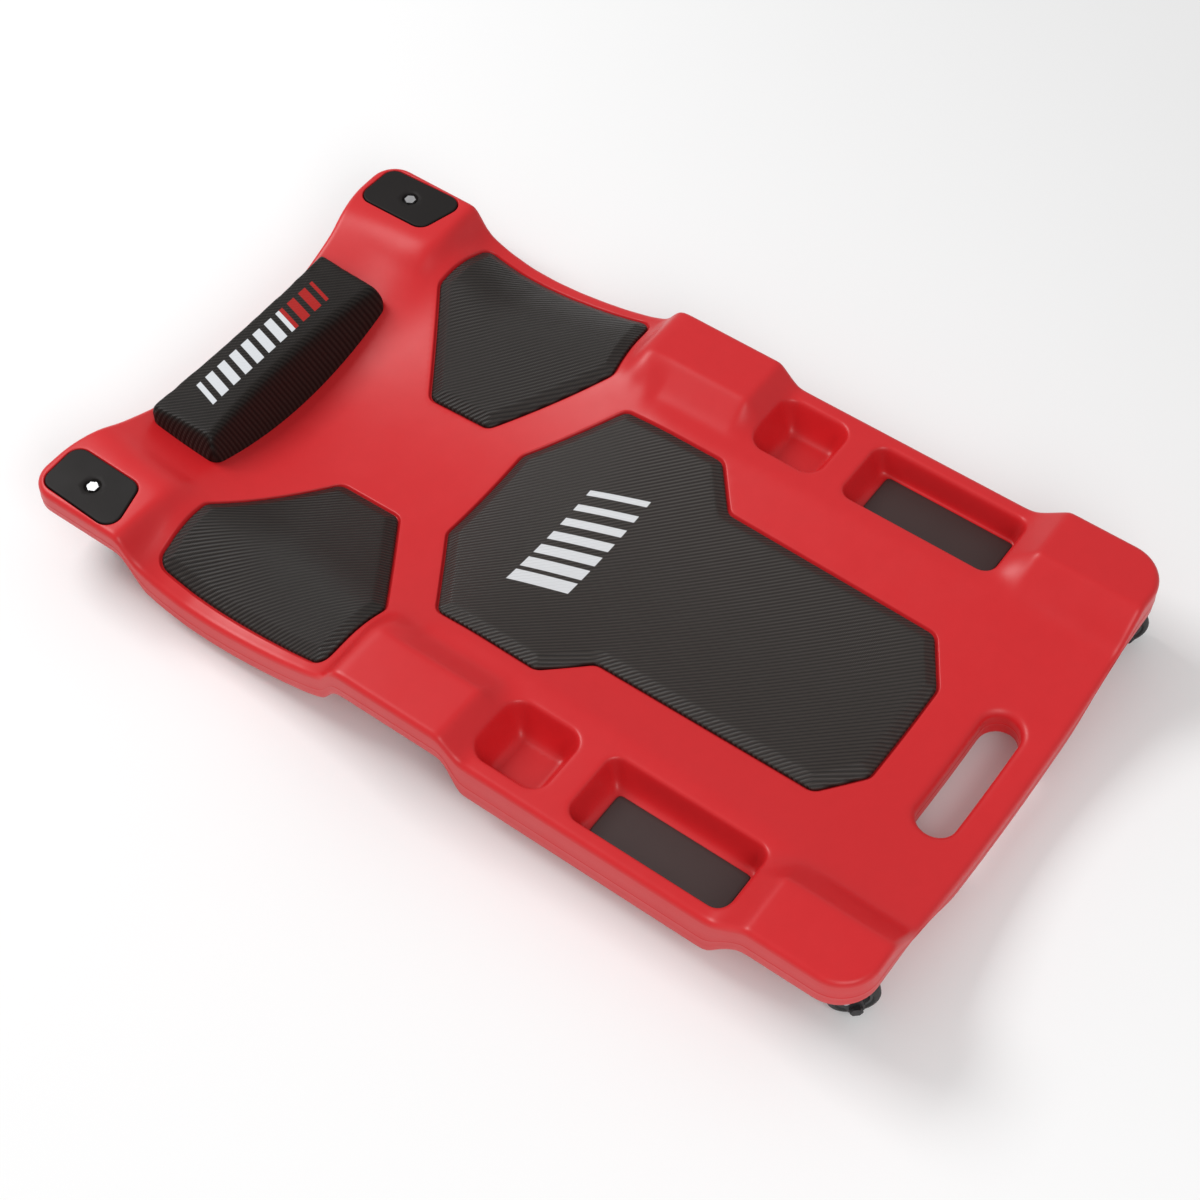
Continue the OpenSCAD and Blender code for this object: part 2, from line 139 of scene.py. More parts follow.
def under_z(x, y):
    """The underside, with its belly under the pockets and its six caster bays."""
    ax = np.abs(x)
    z = np.maximum(29.0, open_z(x, y) - 47.0 + 9.0 * smooth(-480, -560, y))
    belly = ramp(188, 206, ax) * ramp(-444, -403, y) * ramp(-44, -68, y)
    z = mix(z, 52.0, belly)
    foot_bay = ramp(206, 228, ax) * ramp(-403, -444, y)
    foot_bay = np.maximum(foot_bay, smooth(120, 245, ax) * smooth(-500, -575, y))
    mid_bay = ramp(165, 190, ax) * ramp(-66, -46, y) * ramp(126, 103, y)
    head_bay = ramp(206, 228, ax) * ramp(410, 442, y)
    return mix(z, CASTER_H, np.maximum(np.maximum(foot_bay, mid_bay), head_bay))


def edge_drop(d, r):
    """How far a rounded edge of radius r has dropped at the distance d inside it."""
    e = np.clip(r - d, 0, r)
    return r - np.sqrt(np.maximum(r * r - e * e, 0))


def head_edge(x):
    return HALF_L - HEAD_DIP * smooth(285, 190, np.abs(x))


# ---------------------------------------------------------------- plan outlines
def arc(cx, cy, r, a0, a1, n):
    a = np.radians(np.linspace(a0, a1, n))
    return np.stack([cx + r * np.cos(a), cy + r * np.sin(a)], 1)


def resample(poly, step):
    p = np.vstack([poly, poly[:1]])
    d = np.r_[0, np.cumsum(np.hypot(*np.diff(p, axis=0).T))]
    n = max(8, int(round(d[-1] / step)))
    t = np.linspace(0, d[-1], n, endpoint=False)
    return np.stack([np.interp(t, d, p[:, 0]), np.interp(t, d, p[:, 1])], 1)


def deck_outline(g):
    """The deck's plan, moved in by g."""
    xs = np.linspace(290, 0, 40)
    half = np.vstack([
        [[0, -HALF_L + g]],
        arc(HALF_W - FOOT_R, -HALF_L + FOOT_R, FOOT_R - g, -90, 0, 24),
        arc(HALF_W - HEAD_R, HALF_L - HEAD_R, HEAD_R - g, 0, 90, 20),
        np.stack([xs, head_edge(xs) - g], 1)])
    return np.vstack([half, (half[1:-1] * [-1, 1])[::-1]])


def box_outline(b, g):
    """A rounded box (x0, x1, y0, y1, r, ...) moved in by g."""
    x0, x1, y0, y1, r = b[0] + g, b[1] - g, b[2] + g, b[3] - g, max(b[4] - g, 1.5)
    return np.vstack([arc(x1 - r, y0 + r, r, -90, 0, 10), arc(x1 - r, y1 - r, r, 0, 90, 10),
                      arc(x0 + r, y1 - r, r, 90, 180, 10), arc(x0 + r, y0 + r, r, 180, 270, 10)])


def poly_outline(pts, g, r):
    """A polygon moved in by g, its outer corners rounded by r at g = 0."""
    p = np.array(pts, float)
    area = 0.5 * np.sum(p[:, 0] * np.roll(p[:, 1], -1) - np.roll(p[:, 0], -1) * p[:, 1])
    if area < 0:
        p = p[::-1]
    n = len(p)
    e = np.roll(p, -1, 0) - p
    e /= np.hypot(*e.T)[:, None]
    nrm = np.stack([-e[:, 1], e[:, 0]], 1)
    out = []
    for i in range(n):
        a, b = e[i - 1], e[i]
        na, nb = nrm[i - 1], nrm[i]
        turn = a[0] * b[1] - a[1] * b[0]
        dot = float(np.clip(a @ b, -1, 1))
        half = 0.5 * math.acos(dot)
        v = p[i] + (na + nb) / (1 + na @ nb) * g
        rr = max(r - g, 1.0) if turn > 0 else r + g
        reach = rr * math.tan(half)
        s, t = v - a * reach, v + b * reach
        k = np.linspace(0, 1, 9)[:, None]
        side = 1 if turn > 0 else -1
        c = s + side * na * rr
        a0 = math.atan2(*(s - c)[::-1])
        a1 = math.atan2(*(t - c)[::-1])
        da = (a1 - a0 + math.pi) % TAU - math.pi
        ang = a0 + da * k[:, 0]
        out.append(np.stack([c[0] + rr * np.cos(ang), c[1] + rr * np.sin(ang)], 1))
    return np.vstack(out)


def inside_by(p, poly):
    """Signed distance of each point to a closed outline, positive inside."""
    a = poly
    b = np.roll(poly, -1, 0)
    ab = b - a
    l2 = np.maximum((ab ** 2).sum(1), 1e-9)
    out = np.empty(len(p))
    for k in range(0, len(p), 8000):
        q = p[k:k + 8000]
        ap = q[:, None, :] - a[None]
        t = np.clip((ap * ab[None]).sum(2) / l2, 0, 1)
        d = np.sqrt((((ap - t[..., None] * ab[None]) ** 2).sum(2)).min(1))
        cond = (a[None, :, 1] > q[:, None, 1]) != (b[None, :, 1] > q[:, None, 1])
        rise = np.where(ab[:, 1] == 0, 1e-9, ab[:, 1])
        xi = a[None, :, 0] + (q[:, None, 1] - a[None, :, 1]) / rise * ab[None, :, 0]
        odd = (cond & (q[:, None, 0] < xi)).sum(1) % 2 == 1
        out[k:k + 8000] = np.where(odd, d, -d)
    return out


def mirrored(pts):
    return [(-x, y) for x, y in reversed(pts)]


PAD_R, CAP_R = 15.0, 17.0
pad_plans = {"main_pad": MAIN, "shoulder_pad_r": SHOULDER, "shoulder_pad_l": mirrored(SHOULDER)}
cap_plans = {"corner_cap_r": CAP, "corner_cap_l": mirrored(CAP)}


def flip_box(b):
    return (-b[1], -b[0]) + tuple(b[2:])


pockets = [CUP, TRAY, flip_box(CUP), flip_box(TRAY)]


# ---------------------------------------------------------------- meshes
def triangulate(rings, loose):
    """Delaunay triangles over closed rings and loose points; the rings come first, in order."""
    verts, edges = [], []
    for ring in rings:
        n = len(ring)
        k = len(verts)
        verts += [tuple(v) for v in ring]
        edges += [(k + i, k + (i + 1) % n) for i in range(n)]
    verts += [tuple(v) for v in loose]
    res = geometry.delaunay_2d_cdt([Vector(v) for v in verts], edges, [], 0, 1e-5)
    pts = np.array([tuple(v) for v in res[0]])
    tris = np.array(res[2], int)
    back = {}
    for new, olds in enumerate(res[3]):
        for o in olds:
            back[o] = new
    return pts, tris, back


def lattice(x0, x1, y0, y1, step):
    xs = np.arange(x0, x1 + 0.1, step)
    ys = np.arange(y0, y1 + 0.1, step)
    gx, gy = np.meshgrid(xs, ys)
    gx = gx + (np.arange(len(ys)) % 2)[:, None] * step / 2
    return np.stack([gx.ravel(), gy.ravel()], 1)


def make(name, verts, faces, material):
    """A smooth-shaded object from points in mm, with heights brought down to the floor."""
    v = np.array(verts, float) - [0, 0, DROP]
    mesh = bpy.data.meshes.new(name)
    mesh.from_pydata([tuple(p) for p in v * MM], [], [tuple(int(i) for i in f) for f in faces])
    mesh.validate()
    mesh.polygons.foreach_set("use_smooth", [True] * len(mesh.polygons))
    mesh.update()
    mesh.materials.append(material)
    ob = bpy.data.objects.new(name, mesh)
    bpy.context.scene.collection.objects.link(ob)
    return ob


# ---------------------------------------------------------------- materials
class Nodes:
    """A small helper that builds a node tree."""

    def __init__(self, name):
        self.mat = bpy.data.materials.new(name)
        self.mat.use_nodes = True
        self.tree = self.mat.node_tree
        self.tree.nodes.clear()
        self.out = self.tree.nodes.new("ShaderNodeOutputMaterial")
        self.bsdf = self.tree.nodes.new("ShaderNodeBsdfPrincipled")
        self.tree.links.new(self.bsdf.outputs[0], self.out.inputs[0])
        self.coord = self.tree.nodes.new("ShaderNodeTexCoord").outputs["Object"]

    def new(self, kind, **values):
        n = self.tree.nodes.new("ShaderNode" + kind)
        for k, v in values.items():
            setattr(n, k, v)
        return n

    def put(self, socket, value):
        if isinstance(value, bpy.types.NodeSocket):
            self.tree.links.new(value, socket)
        else:
            socket.default_value = value

    def math(self, op, a, b=0.0, c=None, clamp=False):
        n = self.new("Math", operation=op, use_clamp=clamp)
        self.put(n.inputs[0], a)
        self.put(n.inputs[1], b)
        if c is not None:
            self.put(n.inputs[2], c)
        return n.outputs[0]

    def noise(self, scale, detail=2.0, rough=0.5, coord=None):
        n = self.new("TexNoise")
        self.put(n.inputs["Vector"], coord or self.coord)
        n.inputs["Scale"].default_value = scale
        n.inputs["Detail"].default_value = detail
        n.inputs["Roughness"].default_value = rough
        return n.outputs["Fac"]

    def ramp(self, fac, stops):
        n = self.new("ValToRGB")
        self.put(n.inputs[0], fac)
        e = n.color_ramp.elements
        while len(e) < len(stops):
            e.new(0.5)
        for el, (p, col) in zip(e, stops):
            el.position = p
            el.color = (*col, 1) if not isinstance(col, float) else (col, col, col, 1)
        return n.outputs[0]

    def mixrgb(self, fac, a, b):
        n = self.new("Mix", data_type="RGBA")
        self.put(n.inputs[0], fac)
        self.put(n.inputs[6], a if isinstance(a, bpy.types.NodeSocket) else (*a, 1))
        self.put(n.inputs[7], b if isinstance(b, bpy.types.NodeSocket) else (*b, 1))
        return n.outputs[2]

    def bump(self, height, strength, distance, normal=None):
        n = self.new("Bump")
        n.inputs["Strength"].default_value = strength
        n.inputs["Distance"].default_value = distance
        self.put(n.inputs["Height"], height)
        if normal is not None:
            self.put(n.inputs["Normal"], normal)
        return n.outputs[0]

    def set(self, **values):
        for k, v in values.items():
            self.put(self.bsdf.inputs[k.replace("_", " ")], v)
        return self.mat

    def xyz(self):
        n = self.new("SeparateXYZ")
        self.put(n.inputs[0], self.coord)
        return n.outputs


def plastic_red():
    n = Nodes("body_red")
    broad = n.noise(3.0, 3.0)
    fine = n.noise(60.0, 3.0, 0.6)
    col = n.mixrgb(broad, (0.60, 0.014, 0.018), (0.66, 0.018, 0.022))
    col = n.mixrgb(n.ramp(fine, [(0.35, 0.0), (0.75, 0.30)]), col, (0.57, 0.014, 0.017))
    grain = n.noise(1400.0, 2.0, 0.6)
    swell = n.noise(7.0, 2.0)
    normal = n.bump(grain, 0.10, 0.0006, n.bump(swell, 0.12, 0.004))
    rough = n.ramp(n.noise(25.0, 3.0), [(0.3, 0.33), (0.7, 0.40)])
    return n.set(Base_Color=col, Roughness=rough, Normal=normal, Specular_IOR_Level=0.40)


def twill(n, pitch=0.0047):
    """Ribbed carbon-look cover laid diagonally in plan: the ribs, and the threads across them."""
    x, y = n.xyz()[:2]
    u = n.math("MULTIPLY", n.math("ADD", x, y), 0.70711)
    v = n.math("MULTIPLY", n.math("SUBTRACT", x, y), 0.70711)
    rib = n.math("MULTIPLY_ADD", n.math("SINE", n.math("MULTIPLY", u, TAU / pitch)), 0.5, 0.5)
    row = n.math("FLOOR", n.math("DIVIDE", u, pitch))
    lean = n.math("MULTIPLY_ADD", row, pitch * 0.37, v)
    lean = n.math("MULTIPLY_ADD", u, 0.55, lean)
    thread = n.math("MULTIPLY_ADD", n.math("SINE", n.math("MULTIPLY", lean, TAU / 0.0019)), 0.5, 0.5)
    return rib, thread


def vinyl(name, marks=None, gloss=0.36, deep=0.8, painted_shade=1.0):
    n = Nodes(name)

    # The last argument scales every colour down, making a darker copy of the same vinyl: painted shade, not a
    # different cover.
    def dark(*c):
        return tuple(painted_shade * v for v in c)

    rib, thread = twill(n)
    height = n.math("MULTIPLY_ADD", thread, 0.35, rib)
    tone = n.noise(4.0, 3.0)
    base = n.mixrgb(tone, dark(0.009, 0.0065, 0.0055), dark(0.013, 0.0095, 0.008))
    base = n.mixrgb(n.math("MULTIPLY", rib, 0.6), base, dark(0.025, 0.019, 0.016))
    base = n.mixrgb(n.math("MULTIPLY", n.math("MULTIPLY", thread, rib), 0.7), base, dark(0.084, 0.070, 0.062))
    crease = n.noise(26.0, 4.0, 0.55)
    normal = n.bump(height, deep, 0.0007, n.bump(crease, 0.22, 0.0035))
    rough = n.math("MULTIPLY_ADD", rib, -0.16, 0.46)
    if marks is not None:
        ink = marks(n)
        base = n.mixrgb(ink[0], base, ink[1])
    return n.set(Base_Color=base, Roughness=rough, Normal=normal, Specular_IOR_Level=gloss)


def band(n, value, low, high, soft=0.0004):
    up = n.math("DIVIDE", n.math("SUBTRACT", value, low), soft, clamp=True)
    down = n.math("DIVIDE", n.math("SUBTRACT", high, value), soft, clamp=True)
    return n.math("MULTIPLY", up, down)


def simple(name, dark, light, rough, metallic=0.0, grain=900.0, bump=0.1, scale=30.0, ior_level=0.5):
    """A material of two near tones with a fine grain."""
    n = Nodes(name)
    col = n.mixrgb(n.noise(scale, 3.0), dark, light)
    normal = n.bump(n.noise(grain, 2.0, 0.6), bump, 0.0005)
    r = n.ramp(n.noise(scale * 1.7, 3.0), [(0.3, rough - 0.05), (0.7, rough + 0.05)])
    return n.set(Base_Color=col, Roughness=r, Normal=normal, Metallic=metallic, Specular_IOR_Level=ior_level)


def bars_main(n):
    """Plain slanted bars on the back pad."""
    x, y = n.xyz()[:2]
    cy = n.math("SUBTRACT", y, 0.0135)
    slant = n.math("MULTIPLY_ADD", cy, 0.35, x)
    mask = None
    for k in range(7):
        w = 0.010 - 0.0009 * k
        c = -0.078 + 0.0255 * k
        b = band(n, slant, c - w, c + w)
        mask = b if mask is None else n.math("MAXIMUM", mask, b)
    mask = n.math("MULTIPLY", mask, band(n, cy, -0.036, 0.036))
    return mask, (0.72, 0.73, 0.75)


def bars_rest(n):
    """A row of slanted bars on the headrest, the last ones red."""
    x, y = n.xyz()[:2]
    cy = n.math("SUBTRACT", y, 0.508)
    slant = n.math("MULTIPLY_ADD", cy, -0.30, x)
    cell = n.math("SUBTRACT", n.math("MODULO", n.math("ADD", slant, 1.0), 0.022), 0.011)
    mask = band(n, cell, -0.0068, 0.0068)
    mask = n.math("MULTIPLY", mask, band(n, cy, -0.019, 0.019))
    mask = n.math("MULTIPLY", mask, band(n, slant, -0.110, 0.110))
    red = n.math("DIVIDE", n.math("SUBTRACT", slant, 0.045), 0.0004, clamp=True)
    return mask, n.mixrgb(red, (0.68, 0.70, 0.73), (0.40, 0.012, 0.010))


M_RED = plastic_red()
# The shoulder pads' cover is the same vinyl made darker by its last argument, 0.7: painted shade for pads
# tilted away from the key light.
M_VINYL = vinyl("vinyl", None, 0.28, 0.8, 0.7)
M_VINYL_MAIN = vinyl("vinyl_back", bars_main)
# The headrest's cover is the same vinyl made darker by its last argument, 0.5: painted shade that holds down
# the light on its top.
M_VINYL_REST = vinyl("vinyl_rest", bars_rest, 0.16, 0.5, 0.5)
M_CAP = simple("cap_rubber", (0.008, 0.0065, 0.006), (0.013, 0.0105, 0.010), 0.55,
               grain=500.0, bump=0.2, scale=9.0, ior_level=0.2)
M_MAGNET = simple("magnet_strip", (0.030, 0.015, 0.014), (0.050, 0.027, 0.025), 0.5,
                  grain=300.0, bump=0.1, scale=6.0)
M_STEEL = simple("bright_steel", (0.50, 0.50, 0.51), (0.66, 0.66, 0.67), 0.32, 1.0, 1200.0, 0.1, 60.0)
M_ZINC = simple("zinc_steel", (0.46, 0.47, 0.49), (0.62, 0.63, 0.65), 0.38, 1.0, 700.0, 0.15, 90.0)
M_BLACK = simple("black_steel", (0.022, 0.022, 0.024), (0.040, 0.040, 0.043), 0.42, 0.6, 700.0, 0.15, 90.0)
M_TYRE = simple("tyre_rubber", (0.016, 0.016, 0.016), (0.028, 0.028, 0.028), 0.60,
                grain=600.0, bump=0.3)
M_HUB = simple("hub_nylon", (0.035, 0.035, 0.037), (0.055, 0.055, 0.058), 0.45,
               grain=500.0, bump=0.2)
M_BOARD = simple("pad_board", (0.30, 0.19, 0.10), (0.42, 0.29, 0.17), 0.7, grain=200.0, bump=0.3)
M_CLIP = simple("clip_nylon", (0.70, 0.70, 0.67), (0.80, 0.80, 0.77), 0.45)


# ---------------------------------------------------------------- deck
def pocket_depth(x, y, p):
    """How far each pocket lowers the surface, from the distance inside its rim."""
    d = np.zeros(len(x))
    rim = deck_z(x, y)
    for b in pockets:
        s = inside_by(p, box_outline(b, 0))
        is_cup = b[3] > -100
        sides = np.stack([x - b[0], b[1] - x, y - b[2], b[3] - y])
        reach = np.array(CUP_WALLS if is_cup else TRAY_WALLS)
        if b[0] < 0:
            reach[[0, 1]] = reach[[1, 0]]
        w = np.exp(-np.clip(sides, -20, 200) / 6.0)
        wall = (w * reach[:, None]).sum(0) / w.sum(0)
        u = soft_plus(s, 1.3) / wall
        t = 1 - np.maximum(1 - u, 0) ** (CUP_CURVE if is_cup else TRAY_CURVE)
        t = np.where(s > -12, t, 0)
        d = np.maximum(d, (rim - b[5]) * t)
    return d


def deck_heights(p):
    """The finished top of the deck at the points p."""
    x, y = p[:, 0], p[:, 1]
    z = deck_z(x, y)
    z = z - pocket_depth(x, y, p)
    for plan in pad_plans.values():
        z = z - 4.5 * ramp(-3.4, -1.6, inside_by(p, poly_outline(plan, 0, PAD_R)), 0.35)
    for plan in cap_plans.values():
        z = z - 6.0 * ramp(-1.6, -0.4, inside_by(p, poly_outline(plan, 0, CAP_R)), 0.2)
    z = z - edge_drop(inside_by(p, deck_outline(0)), EDGE_R)
    return z - edge_drop(-inside_by(p, box_outline(SLOT, 0)), 10.0)


def build_deck():
    rim = resample(deck_outline(0), 5.0)
    n_rim = len(rim)
    hole = resample(box_outline(SLOT, 0), 3.5)
    n_hole = len(hole)
    rings = [rim, hole]
    for g in (0.15, 0.6, 1.3, 2.3, 3.6, 5.2, 7.2, 9.4, 12.0, 16.0):
        rings.append(resample(deck_outline(g), 5.0))
    for g in (0.15, 0.5, 1.1, 1.9, 3.0, 4.4, 6.2, 8.5, 12.0):
        rings.append(resample(box_outline(SLOT, -g), 3.5))
    for b in pockets:
        for g in (-8, -5, -3, -1.5, -0.6, 0.2, 1, 1.9, 3, 4.2, 5.6, 7.5, 10, 13, 16,
                  19.5, 23):
            rings.append(resample(box_outline(b, g), 4.0))
    for plan in pad_plans.values():
        for g in (-5.0, -4.0, -3.3, -2.6, -1.9, -1.2, 0.5, 6.0):
            rings.append(resample(poly_outline(plan, g, PAD_R), 5.0))
    for plan in cap_plans.values():
        for g in (-3.0, -2.0, -1.5, -1.0, -0.5, 0.5, 4.0):
            rings.append(resample(poly_outline(plan, g, CAP_R), 3.0))
    loose = lattice(-340, 340, -580, 580, 6.0)
    ax, ly = np.abs(loose[:, 0]), loose[:, 1]
    fine = lattice(-340, 340, -580, 580, 3.2)
    fx, fy = np.abs(fine[:, 0]), fine[:, 1]

    def crests(a, v):
        """Where the platforms' edges and slopes need the finer lattice."""
        raised = (v < -398) | ((v > -78) & (v < 130)) | (v > 416)
        steps = (((v > -455) & (v < -398)) | ((v > -78) & (v < -34))
                 | ((v > 92) & (v < 130)) | ((v > 416) & (v < 452)))
        return ((a > 214) & (a < 272) & raised) | ((a > 205) & steps)

    loose = np.vstack([loose[~crests(ax, ly)], fine[crests(fx, fy)]])
    keep = inside_by(loose, deck_outline(18.5)) > 0
    keep &= inside_by(loose, box_outline(SLOT, -14.5)) < 0
    for b in pockets:
        s = inside_by(loose, box_outline(b, 0))
        keep &= (s < -10) | (s > 25)
    for plan in pad_plans.values():
        s = inside_by(loose, poly_outline(plan, 0, PAD_R))
        keep &= (s < -7.5) | (s > 9)
    for plan in cap_plans.values():
        s = inside_by(loose, poly_outline(plan, 0, CAP_R))
        keep &= (s < -4.5) | (s > 6)
    pts, tris, back = triangulate(rings, loose[keep])
    mid = pts[tris].mean(1)
    good = (inside_by(mid, rim) > 0) & (inside_by(mid, hole) < 0)
    tris = tris[good]
    zt = deck_heights(pts)
    verts = [(*p, z) for p, z in zip(pts, zt)]
    faces = [tuple(t) for t in tris]

    rings_low = [rim, hole]
    for g in (0.4, 1.5, 3.2, 5.4, 8.0):
        rings_low.append(resample(deck_outline(g + 2), 6.0))
        rings_low.append(resample(box_outline(SLOT, -g), 6.0))
    loose = lattice(-340, 340, -580, 580, 9.0)
    keep = (inside_by(loose, deck_outline(13)) > 0) & (inside_by(loose, box_outline(SLOT, -11)) < 0)
    pb, tb, back_low = triangulate(rings_low, loose[keep])
    mid = pb[tb].mean(1)
    tb = tb[(inside_by(mid, rim) > 0) & (inside_by(mid, hole) < 0)]
    zb = under_z(pb[:, 0], pb[:, 1])
    zb = zb + edge_drop(inside_by(pb, deck_outline(0)), LOW_R)
    zb = zb + edge_drop(-inside_by(pb, box_outline(SLOT, 0)), 9.0)
    k0 = len(verts)
    verts += [(*p, z) for p, z in zip(pb, zb)]
    faces += [tuple(k0 + t[::-1]) for t in tb]

    def wall(ring, start, inward, line):
        """A side wall from the top to the underside, with a moulding line along it."""
        n = len(ring)
        top = [back[start + i] for i in range(n)]
        low = [k0 + back_low[start + i] for i in range(n)]
        tangent = np.roll(ring, -1, 0) - np.roll(ring, 1, 0)
        tangent /= np.hypot(*tangent.T)[:, None]
        out = np.stack([tangent[:, 1], -tangent[:, 0]], 1) * (-1 if inward else 1)
        rows = [top]
        zt0 = np.array([verts[i][2] for i in top])
        zb0 = np.array([verts[i][2] for i in low])
        seam = mix(zt0, zb0, line)
        marks = [(0.5, 0.0, 0.0), (1.0, 1.5, 0.0), (1.0, 0.8, 0.08), (1.0, 0.4, 0.38),
                 (1.0, -0.4, 0.38), (1.0, -0.8, 0.08), (1.0, -1.5, 0.0)]
        for frac, dz, push in marks:
            z = mix(zt0, seam, frac) + dz
            k = len(verts)
            verts.extend([(*q, h) for q, h in zip(ring + out * push, z)])
            rows.append(list(range(k, k + n)))
        z = mix(seam, zb0, 0.55)
        k = len(verts)
        verts.extend([(*q, h) for q, h in zip(ring - out * 0.2, z)])
        rows.append(list(range(k, k + n)))
        rows.append(low)
        for a, b in zip(rows[:-1], rows[1:]):
            for i in range(n):
                j = (i + 1) % n
                q = (a[i], b[i], b[j], a[j])
                faces.append(q if not inward else q[::-1])

    wall(rim, 0, False, 0.60)
    wall(hole, n_rim, True, 0.45)
    return make("deck_body", verts, faces, M_RED)


# ---------------------------------------------------------------- pads
def pad_mesh(name, plan, r, heights, base, material, rings_g, step=5.0, body="deck"):
    """A closed cushion: heights(points, distance inside) over base(points), with a skirt between."""
    rings = [resample(poly_outline(plan, g, r), 3.2) for g in rings_g]
    last = rings_g[-1]
    p0 = np.array(plan, float)
    loose = lattice(p0[:, 0].min(), p0[:, 0].max(), p0[:, 1].min(), p0[:, 1].max(), step)
    edge = poly_outline(plan, 0, r)
    loose = loose[inside_by(loose, edge) > last + 2.5]
    pts, tris, back = triangulate(rings, loose)
    tris = tris[inside_by(pts[tris].mean(1), rings[0]) > 0]
    d = np.maximum(inside_by(pts, edge), 0)
    top = heights(pts, d)
    bottom = base(pts)
    n = len(pts)
    verts = [(*p, z) for p, z in zip(pts, top)] + [(*p, z) for p, z in zip(pts, bottom)]
    faces = [tuple(t) for t in tris] + [tuple(n + t[::-1]) for t in tris]
    m = len(rings[0])
    loop = [back[i] for i in range(m)]
    faces += [(loop[i], n + loop[i], n + loop[(i + 1) % m], loop[(i + 1) % m]) for i in range(m)]
    ob = make(name, verts, faces, material)
    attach(ob, body)
    return ob


def bumps(p, scale, seed):
    """Smooth, repeatable waves in plan, from -1 to 1."""
    rng = np.random.default_rng(seed)
    out = np.zeros(len(p))
    for _ in range(14):
        a = rng.uniform(0, TAU)
        f = TAU / (scale * rng.uniform(0.6, 1.6))
        out += np.sin((p[:, 0] * math.cos(a) + p[:, 1] * math.sin(a)) * f + rng.uniform(0, TAU))
    return out / 5.0


def crown(pts, d):
    """Rise of a flat pad over the deck: a rolled edge, a bevelled border and a low crown."""
    roll = 3.4 * np.sqrt(np.clip(1 - (1 - np.clip(d / 3.0, 0, 1)) ** 2, 0, 1))
    border = 7.4 * ramp(1.0, 14.0, d, 1.2, 0.9)
    belly = 2.4 * (1 - np.exp(-np.maximum(d - 13, 0) / 40.0))
    tuck = 0.4 * bumps(pts, 13.0, 5) * np.exp(-((d - 4.5) / 4.0) ** 2)
    return -3.2 + roll + border + belly + tuck


def flat_pad(name, plan, material):
    return pad_mesh(name, plan, PAD_R, lambda p, d: deck_z(p[:, 0], p[:, 1]) + crown(p, d),
                    lambda p: deck_z(p[:, 0], p[:, 1]) - 4.4, material,
                    (0.0, 0.2, 0.6, 1.3, 2.2, 3.4, 5.0, 7.5, 10.0, 11.8, 13.0, 14.0, 15.0, 16.5,
                     19.0, 23.0))


def slab_piece(name, edge, low, high, material):
    """A thin board that follows the deck's surface."""
    ring = resample(edge, 8.0)
    loose = lattice(-340, 340, -580, 580, 12.0)
    pts, tris, back = triangulate([ring], loose[inside_by(loose, edge) > 5])
    tris = tris[inside_by(pts[tris].mean(1), ring) > 0]
    z = deck_z(pts[:, 0], pts[:, 1])
    n, m = len(pts), len(ring)
    verts = [(*p, h + high) for p, h in zip(pts, z)] + [(*p, h + low) for p, h in zip(pts, z)]
    loop = [back[i] for i in range(m)]
    faces = [tuple(t) for t in tris] + [tuple(n + t[::-1]) for t in tris]
    faces += [(loop[i], n + loop[i], n + loop[(i + 1) % m], loop[(i + 1) % m]) for i in range(m)]
    ob = make(name, verts, faces, material)
    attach(ob, "deck")
    return ob


def rest_heights(p, d):
    """The headrest's top: leaning sides under a nearly flat, slightly crowned face."""
    x, y = p[:, 0], p[:, 1]
    base = deck_z(x, y)
    lean_foot = np.clip((y - 447.0), 0, None)
    lean_head = np.clip((552.0 - y), 0, None) * 3.2
    lean_side = np.clip(166.0 - np.abs(x), 0, None) * 2.4
    leans = (np.exp(-lean_foot * 3.2 / 7) + np.exp(-lean_head * 2.2 / 7)
             + np.exp(-lean_side * 1.5 / 7))
    reach = -np.log(leans) * 7
    reach = np.maximum(reach, 0) + 6.0 * np.sqrt(np.clip(1 - (1 - np.clip(d / 4.0, 0, 1)) ** 2, 0, 1))
    top = 128.5 + 2.0 * np.exp(-(x / 130.0) ** 4) * np.exp(-((y - 505.0) / 45.0) ** 2)
    z = soft_min(base + reach, top, 5.5)
    return z + 0.55 * bumps(p, 17.0, 9) * np.exp(-((d - 5.0) / 6.0) ** 2)


deck = build_deck()
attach(deck, "deck")
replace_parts(deck, "deck_shell")

for pad_name, pad_plan in pad_plans.items():
    cover = M_VINYL_MAIN if pad_name == "main_pad" else M_VINYL
    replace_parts(flat_pad("pad_" + pad_name, pad_plan, cover), pad_name)
for board_name, board_plan, board_g in (("main_board", MAIN, 16), ("shoulder_board_r", SHOULDER, 18),
                                        ("shoulder_board_l", mirrored(SHOULDER), 18)):
    board_edge = poly_outline(board_plan, board_g, PAD_R + board_g)
    board = slab_piece("ply_" + board_name, board_edge, 0.1, 2.9, M_BOARD)
    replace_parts(board, board_name)
rest = pad_mesh("pad_headrest", REST, 13.0, rest_heights,
                lambda p: deck_z(p[:, 0], p[:, 1]) - 1.0, M_VINYL_REST,
                (0.0, 0.25, 0.8, 1.7, 2.9, 4.5, 6.5, 8.5, 10.5, 12.5, 15, 18), 3.0)
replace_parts(rest, "headrest")


